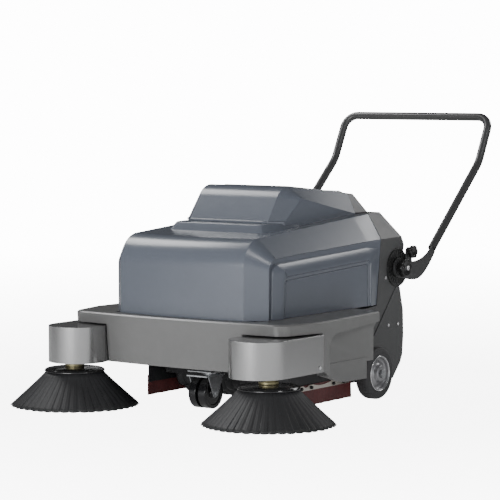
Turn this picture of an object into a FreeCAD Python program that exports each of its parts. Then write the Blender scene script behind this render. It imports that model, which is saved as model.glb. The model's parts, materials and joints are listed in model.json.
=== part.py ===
import FreeCAD, Part
import math
import os

V = FreeCAD.Vector

# Walk-behind sweeper, millimetres. +Z up, the front of the machine faces -Y, +X is its right as
# seen by someone looking along +Y. The origin is on the floor, under the middle of the machine.

# ---------------------------------------------------------------- driving dimensions
WALL = 4.0                    # moulded shell thickness
AIR = 0.5                     # working gap between pieces that move past each other
RUNNING = 0.05                # radial play of a shaft in its bore

# Rotating side brushes, one in front of each front corner.
SIDE_BRUSH_X, SIDE_BRUSH_Y = 364.0, -618.5
SIDE_BRUSH_R = 200.0
BRISTLE_FLOOR = 4.0
BRUSH_DISC_R = 93.0
BRUSH_DISC_TOP = 121.0
BRUSH_HUB_R = 30.0
SHAFT_R = 8.0

# Housings over the side brush motors.
POD_X, POD_Y, POD_R = 340.0, -631.5, 90.0
POD_Z = (141.0, 252.0)
POD_SIDE = 430.0
POD_BACK = -428.0

# Bumper sections from skirt to rim: height, half widths at the front corner, behind the motor
# housing and at the rear end, then the depths of the front corner and of the bowed front's apex.
BUMPER_LEVELS = (
    (141.0, 392.0, 430.0, 404.0, -575.0, -606.0),
    (286.0, 391.0, 426.0, 396.0, -588.0, -631.0),
)
CAVITY_FOOT = (130.0, 392.0, 430.3, 404.6, -574.0, -604.0)
SHELF_LEVEL = (290.0, 387.0, 422.0, 392.0, -584.0, -627.0)
BUMPER_CORNER_R, BUMPER_BOW_R = 45.0, 3000.0
BUMPER_REAR = -46.0
NOTCH_X, NOTCH_TOP = 255.0, 257.0
ARCH_Y, ARCH_WALL_X = -393.0, 388.0

# Hood: three tiers, meeting the rear housing on one slightly inclined seam.
HOOD_BASE = 290.6
HOOD_FLAT, HOOD_SIDE = 230.0, 284.0
HOOD_FRONT, HOOD_BOW = -558.0, 16.0
HOOD_EYE = 85.0               # radius from the front face into the roof
ROOF_FRONT_Z, ROOF_SLOPE = 526.0, 0.072
CHANNEL_X, CREST_X, PANEL_X = 281.8, 292.0, 286.0
CAP_FLAT, CAP_SIDE = 148.0, 184.0
SEAM_Y, SEAM_SLOPE = 92.5, 0.1184
SEAM_HALF = 0.6
HINGE_Y, HINGE_Z = 134.0, 641.0
HINGE_PIN_R, HINGE_KNUCKLE_R = 2.5, 5.0

# Rear housing.
HOUSING_SIDE = 286.0
COVER_SIDE = 288.0
SLOPE_TOP, SLOPE_FOOT = (195.5, 578.0), (255.0, 473.0)

# Chassis.
FRAME_X = (266.0, 270.0)
DECK_Z = (141.0, 145.0)
CASTER_PAD_Z = 122.0
SHELF_Z = (270.0, 273.0)      # equipment plate over the brush chamber and the dust bin

# Main brush and its belt drive, on the left.
MAIN_Y, MAIN_Z, MAIN_R = -172.0, 129.0, 125.0
CORE_R = 45.0
BELT_X = (-262.0, -250.0)
BRUSH_PULLEY_R, MOTOR_PULLEY_R = 40.0, 20.0
MOTOR_Y, MOTOR_Z, MOTOR_R = -215.0, 331.0, 55.0

# Wheels.
WHEEL_Y, WHEEL_Z, WHEEL_R = 33.5, 82.0, 82.0
WHEEL_X = (292.0, 336.0)
RIM_R, AXLE_R = 56.0, 10.0
SWIVEL_Y = -407.5
CASTER_Y, CASTER_R = -432.5, 48.0
CASTER_AXLE_R = 5.0

# Handle.
PIVOT_Y, PIVOT_Z = 210.5, 401.0
TUBE_X, TUBE_R, TUBE_BORE = 289.0, 13.5, 11.5
TUBE_END = (422.5, 449.0)
TUBE_KNEE = (727.5, 722.0)
TUBE_TOP = (804.5, 873.0)
ARM_X = (291.5, 297.5)
DISC_X, DISC_R = (286.0, 291.0), 61.0
STOP_Y, STOP_Z = 267.0, 449.0
STUD_R = 6.0

# Dust bin.
BIN_HALF, BIN_FRONT, BIN_TOP = 257.5, -22.0, 262.0


# ---------------------------------------------------------------- shape helpers
def box(x, y, z):
    """Block between three (low, high) pairs."""
    return Part.makeBox(x[1] - x[0], y[1] - y[0], z[1] - z[0], V(x[0], y[0], z[0]))


def rod(radius, x, y, z):
    """Cylinder along X between the pair x, centred on (y, z)."""
    return Part.makeCylinder(radius, x[1] - x[0], V(x[0], y, z), V(1, 0, 0))


def post(radius, z, x, y):
    """Upright cylinder between the pair z, centred on (x, y)."""
    return Part.makeCylinder(radius, z[1] - z[0], V(x, y, z[0]))


def turned(profile, x, y):
    """Solid turned about the vertical through (x, y) from (radius, z) points."""
    points = [V(x + radius, y, z) for radius, z in profile]
    face = Part.Face(Part.makePolygon(points + points[:1]))
    return face.revolve(V(x, y, 0), V(0, 0, 1), 360)


def rounded_wire(corners, place):
    """Closed wire through (a, b, radius) corners, each rounded by a tangent arc."""
    stops = []
    for index, (a, b, radius) in enumerate(corners):
        corner = V(a, b, 0)
        before = V(corners[index - 1][0], corners[index - 1][1], 0) - corner
        following = corners[(index + 1) % len(corners)]
        after = V(following[0], following[1], 0) - corner
        if radius == 0:
            stops.append((corner, None, corner))
            continue
        before.normalize()
        after.normalize()
        half = before.getAngle(after) / 2
        run = radius / math.tan(half)
        inward = (before + after).normalize() * (radius / math.sin(half) - radius)
        stops.append((corner + before * run, corner + inward, corner + after * run))
    edges = []
    for index, (start, middle, end) in enumerate(stops):
        if middle is not None:
            edges.append(Part.Arc(place(start), place(middle), place(end)).toShape())
        onward = stops[(index + 1) % len(stops)][0]
        edges.append(Part.LineSegment(place(end), place(onward)).toShape())
    return Part.Wire(edges)


def side_wire(corners, x):
    """Wire of (y, z) or (y, z, radius) corners in the plane at x."""
    full = [(*corner, 0)[:3] for corner in corners]
    return rounded_wire(full, lambda p: V(x, p.x, p.y))


def plan_wire(corners, z):
    """Wire of (x, y) or (x, y, radius) corners at height z."""
    full = [(*corner, 0)[:3] for corner in corners]
    return rounded_wire(full, lambda p: V(p.x, p.y, z))


def side_prism(corners, x):
    """Side outline carried along X between the pair x."""
    return Part.Face(side_wire(corners, x[0])).extrude(V(x[1] - x[0], 0, 0))


def plan_prism(corners, z):
    """Plan outline carried up between the pair z."""
    return Part.Face(plan_wire(corners, z[0])).extrude(V(0, 0, z[1] - z[0]))


def ruled(wires):
    return Part.makeLoft(wires, True, True)


def joined(shapes):
    """One solid out of several that touch or overlap."""
    return shapes[0].fuse(shapes[1:]).removeSplitter()


def mirrored(shape):
    return shape.mirror(V(0, 0, 0), V(1, 0, 0))


def save(name, shape):
    shape.exportStep(os.path.join("parts", name + ".step"))


def save_pair(name, right):
    save(name + "_right", right)
    save(name + "_left", mirrored(right))


def group(solids):
    """Separate identical solids kept together as one part."""
    return Part.makeCompound(solids)


def seam(z):
    """Y of the joint between the hood and the rear housing at height z."""
    return SEAM_Y + (z - HOOD_BASE) * SEAM_SLOPE


def hex_bar(across, x, y, z):
    """Hexagonal bar along X."""
    corners = []
    for step in range(6):
        turn = math.radians(60 * step)
        corners.append((y + across / math.sqrt(3) * math.cos(turn),
                        z + across / math.sqrt(3) * math.sin(turn)))
    return side_prism(corners, x)


# ---------------------------------------------------------------- chassis
def side_frame():
    """Steel side plate that carries the wheel, the brush bearing and the handle pivot."""
    outline = [
        (-370.5, 53), (-370.5, 279, 30), (150, 279), (150, 440, 15), (222, 440, 15),
        (222, 300), (236, 240), (238, 120, 20), (180, 53, 15),
    ]
    plate = side_prism(outline, FRAME_X)
    runner = box((244, FRAME_X[0]), (BIN_FRONT, 180), (56, 59))
    plate = joined([plate, runner])
    plate = plate.cut(rod(12 + RUNNING, (260, 275), MAIN_Y, MAIN_Z))
    return plate.cut(rod(STUD_R + 1, (260, 275), PIVOT_Y, PIVOT_Z))


def deck_plate():
    deck = box((-248, 248), (-575, -318), DECK_Z)
    lip = box((-190, 190), (-575, -572), (DECK_Z[1], 155))
    pad = box((-40, 40), (-452, -363), (CASTER_PAD_Z, DECK_Z[0]))
    return joined([deck, lip, pad])


def equipment_plate():
    """Bent sheet: chamber front wall, top plate with the belt slot and the air window."""
    front = box((-244, 262), (-313, -310), (80, SHELF_Z[1]))
    top = box((-265, 265), (-313, 215), SHELF_Z)
    rear_drop = box((-244, 262), (-30, -27), (200, SHELF_Z[0]))
    sheet = joined([front, top, rear_drop])
    belt_slot = box((-265.5, -246), (-252, -150), (260, 280))
    air_window = box((-180, 180), (0, 190), (260, 280))
    return sheet.cut(belt_slot).cut(air_window)


def side_flap():
    return box((270.2, 273.4), (-370.5, -37.5), (11, 75))


BOLT_YS = (-319.0, -265.0, -142.0, -88.0)
BOLT_Z = 66.0


def flap_clamp():
    """Steel strip with a scalloped upper edge between its bolts."""
    strip = box((273.4, 275.9), (-355, -52), (58, 74))
    for low, high in zip(BOLT_YS[:-1], BOLT_YS[1:]):
        middle, half = (low + high) / 2, (high - low) / 2 - 12
        bow = (half * half + 36) / 12
        strip = strip.cut(rod(bow, (270, 280), middle, 68 + bow))
    for y in BOLT_YS:
        strip = strip.cut(rod(3.2, (270, 280), y, BOLT_Z))
    return strip


def flap_bolts():
    heads = []
    for y in BOLT_YS:
        bolt = joined([
            rod(3.0, (273.4, 277.0), y, BOLT_Z),
            hex_bar(10, (275.9, 280.5), y, BOLT_Z),
        ])
        heads += [bolt, mirrored(bolt)]
    return group(heads)


# ---------------------------------------------------------------- bumper and motor housings
def bumper_wire(level, inset=0.0):
    z, front, middle, rear, corner_y, apex_y = level
    right = [
        (front - inset, corner_y + inset, BUMPER_CORNER_R),
        (middle - inset, POD_BACK), (rear - inset, BUMPER_REAR + 10),
    ]
    left = [(-corner[0], *corner[1:]) for corner in reversed(right)]
    return plan_wire(left + [(0, apex_y + inset, BUMPER_BOW_R)] + right, z)


def arch(grow, inner_x):
    """Space outside the recessed wall over the wheel, on the right."""
    outline = [
        (ARCH_Y - grow, 60), (ARCH_Y - grow, 246 + grow, 55), (0, 263 + grow), (0, 60),
    ]
    return side_prism(outline, (inner_x, 450))


def notch(grow):
    """Space in the bumper's front corner for the right motor housing."""
    corner = box((NOTCH_X - grow, 460), (-720, POD_BACK + 0.5 + grow), (100, NOTCH_TOP + grow))
    return corner.fuse(post(POD_R + 3 + grow, (100, NOTCH_TOP + grow), POD_X, POD_Y))


def bumper_shell():
    outer = ruled([bumper_wire(level) for level in BUMPER_LEVELS])
    outer = outer.fuse(ruled([bumper_wire(BUMPER_LEVELS[-1]), bumper_wire(SHELF_LEVEL)]))
    levels = [CAVITY_FOOT, BUMPER_LEVELS[-1]]
    cavity = ruled([bumper_wire(level, WALL) for level in levels])
    for reserved in (notch(WALL), arch(WALL, ARCH_WALL_X - WALL)):
        cavity = cavity.cut(reserved).cut(mirrored(reserved))
    shell = outer.cut(cavity)
    for space in (notch(0), arch(0, ARCH_WALL_X)):
        shell = shell.cut(space).cut(mirrored(space))
    shell = shell.cut(box((-262, 262), (-548, 0), (270, 300)))
    beyond = side_prism([(-42, 300), (-46, 284), (-89, 240), (-89, 100), (0, 100), (0, 300)], (-460, 460))
    shell = shell.cut(beyond)
    apron = side_prism([
        (-393, 124), (-343, 111), (-300, 97, 40), (-250, 90), (-130, 88), (-130, 153), (-393, 153),
    ], (ARCH_WALL_X - WALL, ARCH_WALL_X + 2))
    front_drop = side_prism([(POD_BACK + 2, 145), (-393, 145), (-393, 124)], (424, 427.5))
    web = box((ARCH_WALL_X - WALL, 427), (-396, -393), (124, 160))
    end_wall = side_prism([
        (-50, 284), (-46, 284), (-89, 240), (-89, 155), (-93, 155), (-93, 241),
    ], (290, ARCH_WALL_X - 2))
    added = []
    for piece in (apron, front_drop, web, end_wall):
        added += [piece, mirrored(piece)]
    corner = plan_prism([(330, -46), (440, -88), (440, 0), (330, 0)], (100, 300))
    return joined([shell] + added).cut(corner).cut(mirrored(corner))


def pod():
    """Right housing over the side brush motor, open at the bottom round the hub."""
    def block(inset, z):
        return post(POD_R - inset, z, POD_X, POD_Y).fuse(
            box((NOTCH_X + 3 + inset, POD_SIDE - inset), (POD_Y, POD_BACK - inset), z))
    shell = block(0, POD_Z).removeSplitter()
    shell = shell.cut(block(3.0, (POD_Z[0] + 3, POD_Z[1] - 3)))
    return shell.cut(post(BRUSH_HUB_R + 4, (130, 150), SIDE_BRUSH_X, SIDE_BRUSH_Y))


def side_motor():
    """Geared motor of the right side brush, with the bore that takes the brush shaft."""
    gearbox = post(44, (POD_Z[0] + 8, POD_Z[0] + 36), SIDE_BRUSH_X, SIDE_BRUSH_Y)
    can = post(31, (POD_Z[0] + 36, POD_Z[1] - 3.2), SIDE_BRUSH_X, SIDE_BRUSH_Y)
    foot = box((300, 360), (-575, -500), (POD_Z[0] + 8, POD_Z[0] + 14))
    neck = box((335, 360), (-590, -570), (POD_Z[0] + 8, POD_Z[0] + 14))
    motor = joined([gearbox, can, neck, foot])
    return motor.cut(post(SHAFT_R + RUNNING, (140, 180), SIDE_BRUSH_X, SIDE_BRUSH_Y))


# ---------------------------------------------------------------- side brushes
def brush_hub():
    hub = post(BRUSH_HUB_R, (BRUSH_DISC_TOP, POD_Z[0] + 5), SIDE_BRUSH_X, SIDE_BRUSH_Y)
    return joined([hub, post(SHAFT_R, (BRUSH_DISC_TOP, 174), SIDE_BRUSH_X, SIDE_BRUSH_Y)])


def brush_disc():
    profile = [
        (0, 106), (BRUSH_DISC_R - 3, 106), (BRUSH_DISC_R, 110), (BRUSH_DISC_R - 1, 115),
        (BRUSH_DISC_R - 8, 118), (BRUSH_HUB_R + 4, BRUSH_DISC_TOP), (0, BRUSH_DISC_TOP),
    ]
    return turned(profile, SIDE_BRUSH_X, SIDE_BRUSH_Y)


def bristle_skirt():
    """Outer shape of the splayed bristles, hollow underneath."""
    profile = [
        (BRUSH_DISC_R - 28, 106), (BRUSH_DISC_R - 3, 106),
        (SIDE_BRUSH_R, BRISTLE_FLOOR), (SIDE_BRUSH_R - 30, BRISTLE_FLOOR),
    ]
    return turned(profile, SIDE_BRUSH_X, SIDE_BRUSH_Y)


# ---------------------------------------------------------------- hood
def roof(y):
    return ROOF_FRONT_Z + (y - HOOD_FRONT) * ROOF_SLOPE


def lower_tier(t):
    """Lower body of the hood, inset by t; the inset copy runs out of the open ends."""
    run_out = 12.0 if t else 0.0
    base = HOOD_BASE - run_out

    def middle(x, front):
        return side_wire([
            (front + t, base), (front + t, roof(front) - t, HOOD_EYE - t),
            (seam(576) - SEAM_HALF + run_out, roof(seam(576) + run_out) - t),
            (seam(base) - SEAM_HALF + run_out, base),
        ], x)

    def flank(x):
        return side_wire([
            (-502 + t, base), (-502 + t, 472 - t, 40 - t),
            (seam(497) - SEAM_HALF + run_out, 497 - t), (seam(base) - SEAM_HALF + run_out, base),
        ], x)

    bowed = Part.makeLoft([
        middle(-HOOD_FLAT, HOOD_FRONT), middle(0, HOOD_FRONT - HOOD_BOW), middle(HOOD_FLAT, HOOD_FRONT),
    ], True, False)
    right = ruled([middle(HOOD_FLAT, HOOD_FRONT), flank(HOOD_SIDE - t)])
    return joined([bowed, right, mirrored(right)])


def cap_top(y):
    """Height of the top tier's flat top."""
    return 639.0 - (y - 133.0) * 0.101


def upper_tier(t):
    """Top tier of the hood with its curved front, inset by t."""
    run_out = 12.0 if t else 0.0
    foot = 520.0

    def middle(x):
        return side_wire([
            (-339 + t, foot), (-242 + t, cap_top(-242) - t, 75 - t),
            (seam(639) - SEAM_HALF + run_out, cap_top(seam(639) + run_out) - t),
            (seam(foot) - SEAM_HALF + run_out, foot),
        ], x)

    def flank(x):
        return side_wire([
            (-306 + t, foot), (-183 + t, 636 - t, 22 - t),
            (seam(574) - SEAM_HALF + run_out, 574 - t), (seam(foot) - SEAM_HALF + run_out, foot),
        ], x)

    centre = Part.Face(middle(-CAP_FLAT)).extrude(V(2 * CAP_FLAT, 0, 0))
    right = ruled([middle(CAP_FLAT), flank(CAP_SIDE - t)])
    return joined([centre, right, mirrored(right)])


def plinth(t):
    """Low step in front of the top tier."""
    low = [(175 - t, -390 + t), (191 - t, -286), (191 - t, -200)]
    high = [(152 - t, -374 + t), (162 - t, -311), (162 - t, -200)]

    def ring(points, z):
        return plan_wire(points + [(-x, y) for x, y in reversed(points)], z)

    return ruled([ring(low, 525 - t), ring(high, 563 - t)])


def side_channel():
    """Shallow channel on the right side that runs round the raised frame."""
    return side_prism([
        (-499, HOOD_BASE - 15), (-499, 469, 38), (84, 490), (84, HOOD_BASE - 15),
    ], (CHANNEL_X, HOOD_SIDE + 5))


def side_raised_frame():
    """Frame that rises from the channel on slanted bands to a flat crest."""
    foot = [(-486, HOOD_BASE), (-481, 453, 28), (48, 474, 6), (84, 466), (84, HOOD_BASE)]
    crest = [(-456, HOOD_BASE), (-438, 435.5, 8), (53, 454.5, 3), (56, 440), (56, HOOD_BASE)]
    return ruled([side_wire(foot, CHANNEL_X - 1), side_wire(crest, CREST_X)])


def side_panel_recess():
    return side_prism([
        (-425, HOOD_BASE - 15), (-422, 404, 12), (38, 424, 10), (40, HOOD_BASE - 15),
    ], (PANEL_X, CREST_X + 5))


def hood_shell():
    shell = joined([lower_tier(0), upper_tier(0), plinth(0)])
    shell = shell.cut(lower_tier(WALL)).cut(upper_tier(WALL)).cut(plinth(WALL))
    lid = side_prism([
        (-166, cap_top(-166) - 2), (-166, cap_top(-166) + 2.5),
        (100, cap_top(100) + 2.5), (100, cap_top(100) - 2),
    ], (-122, 122))
    channel, frame, recess = side_channel(), side_raised_frame(), side_panel_recess()
    shell = shell.cut(channel).cut(mirrored(channel))
    shell = joined([shell, lid, frame, mirrored(frame)])
    shell = shell.cut(recess).cut(mirrored(recess))
    knuckles = []
    for x in (-95.0, 75.0):
        reach = (x, x + 20)
        shell = shell.cut(rod(HINGE_KNUCKLE_R + 1, (x - 22, x + 42), HINGE_Y, HINGE_Z))
        eye = rod(HINGE_KNUCKLE_R, reach, HINGE_Y, HINGE_Z)
        strap = side_prism([
            (105, cap_top(105)), (105, cap_top(105) + 2.5), (HINGE_Y, HINGE_Z + 5), (HINGE_Y - 4, 638),
        ], reach)
        knuckles.append(eye.fuse(strap).cut(rod(HINGE_PIN_R + RUNNING, (x - 30, x + 60), HINGE_Y, HINGE_Z)))
    return joined([shell] + knuckles)


def hood_hinge_pin():
    """Two hinge pins, each with the knuckles and leaf that stay on the rear housing."""
    hinges = []
    for x in (-95.0, 75.0):
        pieces = [rod(HINGE_PIN_R, (x - 20, x + 40), HINGE_Y, HINGE_Z)]
        for start in (x - 19, x + 20 + AIR):
            reach = (start, start + 18.5)
            pieces.append(rod(HINGE_KNUCKLE_R, reach, HINGE_Y, HINGE_Z))
            pieces.append(side_prism([
                (HINGE_Y + 1, HINGE_Z + 4.5), (HINGE_Y + 5, 638.5), (158, 636.6), (158, 639),
            ], reach))
        hinges.append(joined(pieces))
    return group(hinges)


# ---------------------------------------------------------------- rear housing
def slope_y(z):
    """Y of the rear sloping face at height z."""
    return SLOPE_TOP[0] + (SLOPE_TOP[1] - z) * (SLOPE_FOOT[0] - SLOPE_TOP[0]) / (SLOPE_TOP[1] - SLOPE_FOOT[1])


def housing_body(t):
    run_out = 12.0 if t else 0.0
    lead = SEAM_HALF - run_out
    foot = SHELF_Z[1] + 0.2 - run_out

    def middle(x):
        return side_wire([
            (seam(foot) + lead, foot), (seam(577) + lead, 577 - t),
            (slope_y(578) - t, 578 - t), (slope_y(473) - t, 473), (226.5 - t, 339), (236 - t, foot),
        ], x)

    def flank(x):
        return side_wire([
            (seam(foot) + lead, foot), (seam(497) + lead, 497 - t),
            (slope_y(499) - t, 499 - t), (slope_y(473) - t, 473), (226.5 - t, 339), (236 - t, foot),
        ], x)

    def cap(x, front_z, rear_z):
        return side_wire([
            (seam(530) + lead, 530), (seam(front_z) + lead, front_z - t),
            (slope_y(rear_z) - t, rear_z - t), (slope_y(530) - t, 530),
        ], x)

    centre = Part.Face(middle(-HOOD_FLAT)).extrude(V(2 * HOOD_FLAT, 0, 0))
    right = ruled([middle(HOOD_FLAT), flank(HOUSING_SIDE - t)])
    cap_centre = Part.Face(cap(-CAP_FLAT, 638.5, 635.5)).extrude(V(2 * CAP_FLAT, 0, 0))
    cap_right = ruled([cap(CAP_FLAT, 638.5, 635.5), cap(CAP_SIDE - t, 574, 575)])
    return joined([centre, right, mirrored(right), cap_centre, cap_right, mirrored(cap_right)])


def rear_housing():
    shell = housing_body(0).cut(housing_body(WALL))
    tray = side_prism([
        (-42, 170), (-42, 278), (seam(288) + SEAM_HALF, 288), (seam(346) + SEAM_HALF, 346),
        (207, 346), (77, 200), (51, 170),
    ], (FRAME_X[1] + 0.3, HOUSING_SIDE))
    hollow = side_prism([
        (-38, 174), (-38, 274), (97, 284), (103, 350), (190, 350), (190, 336), (72, 202), (49, 174),
    ], (FRAME_X[1], HOUSING_SIDE - 3))
    skirt = tray.cut(hollow)
    for piece in (skirt, mirrored(skirt)):
        shell = shell.fuse(piece)
    shell = shell.removeSplitter()
    below_seam = side_prism([(59, 40), (59, 180), (79, 201.5), (208, 346.2), (262, 346.2), (262, 40)],
                            (FRAME_X[1] - 1, HOUSING_SIDE + 5))
    shell = shell.cut(below_seam).cut(mirrored(below_seam))
    shell = shell.cut(rod(STUD_R + 2, (-300, 300), PIVOT_Y, PIVOT_Z))
    for x in (-95.0, 75.0):
        shell = shell.cut(rod(HINGE_KNUCKLE_R + 1, (x - 22, x + 42), HINGE_Y, HINGE_Z))
    return shell


def rear_cover():
    """Lower side cover behind the wheel, a tray that closes against the side frame."""
    outline = [
        (60, 47), (60, 179), (80, 200), (209, 344.5), (226.5, 339, 10), (247.5, 263, 40),
        (250.5, 181, 40), (244.5, 119, 20), (232.5, 95.5, 20), (186.5, 47),
    ]
    hollow = [
        (64, 51), (64, 178), (82, 198), (208, 338), (222, 335), (243, 262),
        (246, 181), (240, 121), (229, 98), (184, 51),
    ]
    tray = side_prism(outline, (FRAME_X[1] + 0.3, COVER_SIDE))
    tray = tray.cut(rod(DISC_R + 1, (DISC_X[0] - AIR, 300), PIVOT_Y, PIVOT_Z))
    return tray.cut(side_prism(hollow, (FRAME_X[1], COVER_SIDE - 3)))


def body_screws():
    """Pan heads on the covers, the housing and the motor housings."""
    seats = [
        (COVER_SIDE, 157.0, 220.6), (COVER_SIDE, 214.5, 220.0),
        (HOUSING_SIDE, 141.9, 372.1), (POD_SIDE, -450.0, 156.0),
    ]
    heads = []
    for x, y, z in seats:
        head = rod(5.0, (x, x + 2.2), y, z).cut(box((x + 1.2, x + 3), (y - 3.5, y + 3.5), (z - 0.6, z + 0.6)))
        heads += [head, mirrored(head)]
    return group(heads)


# ---------------------------------------------------------------- control panel
PANEL_ORIGIN = V(0, slope_y(567.5), 567.5)
PANEL_THICK = 12.0
KEY_X, ROCKER_X, STOP_X, INLET_X = -62.0, 0.0, 62.0, 172.0


def on_slope(shape):
    """Moves a shape modelled flat onto the rear slope; local Z becomes its outward normal."""
    fall = math.degrees(math.atan2(SLOPE_TOP[1] - SLOPE_FOOT[1], SLOPE_FOOT[0] - SLOPE_TOP[0]))
    shape.Placement = FreeCAD.Placement(PANEL_ORIGIN, FreeCAD.Rotation(V(1, 0, 0), -fall))
    return shape


def control_panel():
    outline = [(-105, -42, 10), (105, -42, 10), (105, 42, 10), (-105, 42, 10)]
    panel = plan_prism(outline, (0, PANEL_THICK))
    panel = panel.cut(post(9.5, (-1, 20), KEY_X, 0))
    panel = panel.cut(box((ROCKER_X - 11, ROCKER_X + 11), (-18, 18), (-1, 20)))
    panel = panel.cut(post(7.5, (-1, 20), STOP_X, 0))
    return on_slope(panel)


def key_switch():
    barrel = post(9, (2, PANEL_THICK + 2), KEY_X, 0)
    bow = box((KEY_X - 1.5, KEY_X + 1.5), (-11, 11), (PANEL_THICK + 9, PANEL_THICK + 27))
    blade = box((KEY_X - 1.5, KEY_X + 1.5), (-4, 4), (PANEL_THICK + 1, PANEL_THICK + 10))
    return on_slope(joined([barrel, blade, bow]))


def power_rocker():
    paddle = Part.Face(Part.makePolygon([
        V(ROCKER_X - 10, -15, 7), V(ROCKER_X - 10, -15, 18), V(ROCKER_X - 10, 0, 14.5),
        V(ROCKER_X - 10, 15, 15), V(ROCKER_X - 10, 15, 9), V(ROCKER_X - 10, -15, 7),
    ])).extrude(V(20, 0, 0))
    return on_slope(paddle)


def stop_button():
    stem = post(7, (6, 18), STOP_X, 0)
    head = turned([(0, 17), (15, 17), (17, 19), (17, 23), (13, 27), (0, 28)], STOP_X, 0)
    return on_slope(joined([stem, head]))


def charge_inlet():
    flange = post(17, (0, 4), INLET_X, 10).cut(post(10, (1, 5), INLET_X, 10))
    for turn in (90, 210, 330):
        angle = math.radians(turn)
        pin = post(1.5, (0.5, 3.5), INLET_X + 5 * math.cos(angle), 10 + 5 * math.sin(angle))
        flange = flange.fuse(pin)
    return on_slope(flange.removeSplitter())


# ---------------------------------------------------------------- power, drive and dust
def battery():
    """Right battery block with its two terminal posts and lid."""
    block = box((6, 244), (-530, -365), (DECK_Z[1], 316))
    lid = box((10, 240), (-526, -369), (316, 326))
    posts = [post(8, (326, 340), x, -505) for x in (35, 215)]
    return joined([block, lid] + posts)


def controller_box():
    case = box((60, 225), (-295, -150), (SHELF_Z[1], 335))
    fins = [box((68 + 18 * n, 74 + 18 * n), (-290, -155), (335, 345)) for n in range(9)]
    return joined([case] + fins)


def main_motor():
    can = rod(MOTOR_R, (-238, -60), MOTOR_Y, MOTOR_Z)
    cradle = box((-225, -75), (MOTOR_Y - 45, MOTOR_Y + 45), (SHELF_Z[1], MOTOR_Z - 20))
    end = rod(38, (-60, -48), MOTOR_Y, MOTOR_Z)
    motor = joined([can, cradle, end])
    return motor.cut(rod(SHAFT_R + RUNNING, (-245, -200), MOTOR_Y, MOTOR_Z))


def motor_pulley():
    wheel = rod(MOTOR_PULLEY_R, (BELT_X[0] + 0.5, BELT_X[1] - 0.5), MOTOR_Y, MOTOR_Z)
    flange = rod(MOTOR_PULLEY_R + 4, (BELT_X[1] - 0.5, BELT_X[1] + 2), MOTOR_Y, MOTOR_Z)
    shaft = rod(SHAFT_R, (BELT_X[1], -205), MOTOR_Y, MOTOR_Z)
    return joined([wheel, flange, shaft])


def belt_outline(grow, x):
    """Band round both pulleys: two discs and the quadrilateral between their tangents."""
    run = V(0, MOTOR_Y - MAIN_Y, MOTOR_Z - MAIN_Z)
    span = run.Length
    along = V(run).normalize()
    across = V(0, -along.z, along.y)
    big, small = BRUSH_PULLEY_R + grow, MOTOR_PULLEY_R + grow
    lean = (big - small) / span
    rise = math.sqrt(1 - lean * lean)
    centre_a, centre_b = V(x[0], MAIN_Y, MAIN_Z), V(x[0], MOTOR_Y, MOTOR_Z)
    corners = []
    for centre, radius, side in ((centre_a, big, 1), (centre_b, small, 1),
                                 (centre_b, small, -1), (centre_a, big, -1)):
        corners.append(centre + (along * lean + across * (rise * side)) * radius)
    flat = Part.Face(Part.makePolygon(corners + corners[:1])).extrude(V(x[1] - x[0], 0, 0))
    return flat.fuse([rod(big, x, MAIN_Y, MAIN_Z), rod(small, x, MOTOR_Y, MOTOR_Z)]).removeSplitter()


def drive_belt():
    inner_x = (BELT_X[0] + 1.5, BELT_X[1] - 1.5)
    return belt_outline(4.4, inner_x).cut(belt_outline(0.4, BELT_X))


def main_brush_core():
    tube = rod(CORE_R, (-240, 258), MAIN_Y, MAIN_Z)
    shaft = rod(12, (-269.5, 269.5), MAIN_Y, MAIN_Z)
    pulley = rod(BRUSH_PULLEY_R, (BELT_X[0] + 0.5, BELT_X[1] - 0.5), MAIN_Y, MAIN_Z)
    flange = rod(BRUSH_PULLEY_R + 4, (BELT_X[1] - 0.5, BELT_X[1] + 2), MAIN_Y, MAIN_Z)
    return joined([tube, shaft, pulley, flange])


def main_brush_bristles():
    return rod(MAIN_R, (-240, 258), MAIN_Y, MAIN_Z).cut(rod(CORE_R, (-241, 259), MAIN_Y, MAIN_Z))


def filter_cartridge():
    frame = box((-200, 200), (-15, 205), (SHELF_Z[1], 300))
    pleats = [box((-190 + 20 * n, -180 + 20 * n), (-8, 198), (300, 318)) for n in range(20)]
    return joined([frame] + pleats)


def fan_casing():
    """Suction fan on the filter: round scroll with its outlet and motor."""
    scroll = post(95, (318.2, 372), 0, 95)
    outlet = box((0, 95), (95, 190), (318.2, 372))
    motor = post(48, (372, 440), 0, 95)
    return joined([scroll, outlet, motor])


def dust_bin():
    """Dust drawer, open on top and at the front mouth, with a grab handle behind."""
    outer = [
        (BIN_FRONT, 60), (186, 60), (230, 97, 15), (242, 119, 15), (248.5, 181, 30),
        (245.5, BIN_TOP, 4), (BIN_FRONT, BIN_TOP),
    ]
    inner = [(BIN_FRONT - 5, 63.5), (184, 63.5), (227, 99), (239, 121), (245, 181), (242, 275), (-18, 275),
             (-18, 190), (BIN_FRONT - 5, 190)]
    shell = side_prism(outer, (-BIN_HALF, BIN_HALF))
    shell = shell.cut(side_prism(inner, (-BIN_HALF + 3.5, BIN_HALF - 3.5)))
    bar = rod(9, (-95, 95), 274, 205)
    posts = []
    for x in (-88.0, 88.0):
        posts.append(box((x - 7, x + 7), (244, 274), (198, 212)))
    return joined([shell, bar] + posts)


# ---------------------------------------------------------------- wheels
def tyre():
    profile = [
        (RIM_R, WHEEL_X[0] + 2), (WHEEL_R - 6, WHEEL_X[0]), (WHEEL_R - 1.5, WHEEL_X[0] + 4),
        (WHEEL_R, WHEEL_X[0] + 12), (WHEEL_R, WHEEL_X[1] - 12), (WHEEL_R - 1.5, WHEEL_X[1] - 4),
        (WHEEL_R - 6, WHEEL_X[1]), (RIM_R, WHEEL_X[1] - 2),
    ]
    return wheel_turned(profile)


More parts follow.
